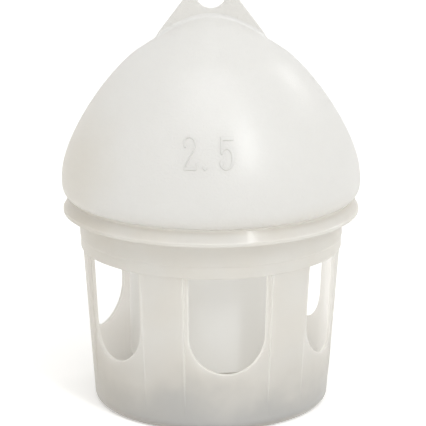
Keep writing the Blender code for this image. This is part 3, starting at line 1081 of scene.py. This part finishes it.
def tub_plastic(name, thin, thick, glow_share):
    material = bpy.data.materials.new(name)
    place = start_nodes(material).node("ShaderNodeTexCoord", {}, {}, "Object")
    height = along(place, "Z")
    cloud = noise(place, **TUB_CLOUD_SIZE)
    stretched = place.node("ShaderNodeMapping", {}, {"Vector": place, "Scale": STREAK_SCALE})
    streak = noise(stretched, **STREAK_SIZE)
    ripple = noise(place, **RIPPLE_SIZE)
    level = place.node("ShaderNodeVectorMath", {"operation": "MULTIPLY"}, {0: place, 1: (1, 1, 0)})
    radius = level.node("ShaderNodeVectorMath", {"operation": "LENGTH"}, {0: level}, "Value")
    outside = larger(ramp(radius - height * WALL_TAPER, *OUTER_WALL), ramp(height, *UNDERSIDE))
    # Painted shade: the outer wall turns cooler and darker towards the floor.
    low_wall_painted_shade = ramp(height + (cloud - 0.5) * LOW_WALL_SHADE_WANDER, *LOW_WALL_SHADE) * outside
    # Painted contact shadow: foot_line here is a brown line along the very foot, where the tub stands on the
    # floor. It also lets less light through there.
    foot_line = ramp(height, *FOOT_CONTACT_SHADOW) * outside
    # Painted shade: yellow on the tub's left, away from the key light, on the seat where the tank rests, and
    # inside the trough.
    left_painted_shade = ramp(along(place, "X") + (cloud - 0.5) * TUB_SHADE_WANDER, *TUB_SHADED_LEFT)
    seat_painted_shade = ramp(height, *SEAT_SHADE)
    trough_painted_shade = ramp(height + (cloud - 0.5) * TUB_SHADE_WANDER, *TROUGH_SHADE) * (1 - outside)
    colour = mix_colours(ramp(cloud, *MOTTLE) * 0.75 + streak * 0.25, thin, thick)
    colour = mix_colours(low_wall_painted_shade * 0.95, colour, LOW_WALL_SHADE_GREY)
    colour = mix_colours(larger(seat_painted_shade * 0.55, larger(trough_painted_shade * 0.7, left_painted_shade * 0.6)), colour, TUB_SHADE_YELLOW)
    colour = mix_colours(foot_line * 0.85, colour, FOOT_SHADOW_BROWN)
    relief = relief_of(ripple * 0.6 + streak * 0.4, strength=0.5, distance=0.18 * MM)
    roughness = 0.24 + cloud * 0.06 + streak * 0.05
    passing = glow_share - low_wall_painted_shade * 0.1 - foot_line * 0.4
    moulded_plastic(colour, roughness, relief, TUB_COAT, TUB_GLOW, passing)
    return material


natural = tub_plastic("natural_gloss_plastic", (0.785, 0.763, 0.727), (0.815, 0.816, 0.812), 0.67)
# Painted highlight: a lighter copy of the plastic on the cut window edges.
edge_painted_highlight = tub_plastic("window_edge_painted_highlight", (0.96, 0.955, 0.94), (0.98, 0.977, 0.965), 0.78)
wear(tub, (natural, edge_painted_highlight))

# %% [markdown]
# ## Floor and light
#
# The floor is matt and pale. To the camera it also glows a little, so that it reaches white where no shadow
# falls, while the object still gets only the floor's plain reflected light. The world is white to the camera
# and plain, soft and slightly warm to everything else. Two suns from the front right make the key light and
# its small highlight, a broad one overhead fills in, and a faint one from the back right draws the rim.

# %% Floor
FLOOR_HALF_SIZE = 6
FLOOR_COLOUR = (0.86, 0.86, 0.855, 1)
FLOOR_LIFT = 0.34
WHITE = (1, 1, 1, 1)


def seen_plainly(start):
    """1 for rays from the camera, from a reflection or through clear plastic, and 0 for light on its way."""
    camera_ray, glossy_ray, clear_ray = (
        start.node("ShaderNodeLightPath", {}, {}, name)
        for name in ("Is Camera Ray", "Is Glossy Ray", "Is Transmission Ray")
    )
    return larger(camera_ray, larger(glossy_ray, clear_ray))


floor_shape = bmesh.new()
bmesh.ops.create_grid(floor_shape, x_segments=1, y_segments=1, size=FLOOR_HALF_SIZE)
floor = shape_object("floor", floor_shape)

floor_material = bpy.data.materials.new("pale_floor")
start = start_nodes(floor_material)
matt = start.node("ShaderNodeBsdfDiffuse", {}, {"Color": FLOOR_COLOUR})
lift = start.node("ShaderNodeEmission", {}, {"Color": WHITE, "Strength": FLOOR_LIFT})
lit = start.node("ShaderNodeAddShader", {}, {0: matt, 1: lift})
surface = mix_shaders(seen_plainly(start), matt, lit)
surface.node("ShaderNodeOutputMaterial", {}, {"Surface": surface})
wear(floor, (floor_material,))

# %% World and lamps
SOFT_COLOUR = (1, 0.975, 0.93, 1)
SOFT_STRENGTH = 0.6
COOL = (0.95, 0.98, 1)
FAINTLY_COOL = (0.97, 0.985, 1)
PLAIN = (1, 1, 1)

world = bpy.data.worlds.new("studio")
start = start_nodes(world)
soft = start.node("ShaderNodeBackground", {}, {"Color": SOFT_COLOUR, "Strength": SOFT_STRENGTH})
white = start.node("ShaderNodeBackground", {}, {"Color": WHITE, "Strength": 1})
surface = mix_shaders(seen_plainly(start), soft, white)
surface.node("ShaderNodeOutputWorld", {}, {"Surface": surface})
bpy.context.scene.world = world


def sun(name, azimuth, elevation, strength, spread, colour):
    """A sun that shines from an azimuth, counted from the front towards the right, and an elevation."""
    data = bpy.data.lights.new(name, "SUN")
    data.energy = strength
    data.angle = radians(spread)
    data.color = colour
    place_object(name, data).rotation_euler = (radians(90 - elevation), 0, radians(azimuth))


sun("key", azimuth=38, elevation=47, strength=0.56, spread=15, colour=COOL)
sun("low_key", azimuth=35, elevation=37.5, strength=0.34, spread=4.5, colour=COOL)
sun("overhead", azimuth=-8, elevation=72, strength=0.74, spread=40, colour=FAINTLY_COOL)
sun("rim", azimuth=130, elevation=31, strength=0.22, spread=12, colour=PLAIN)

# %% Look settings
bpy.context.scene.view_settings.view_transform = "Standard"
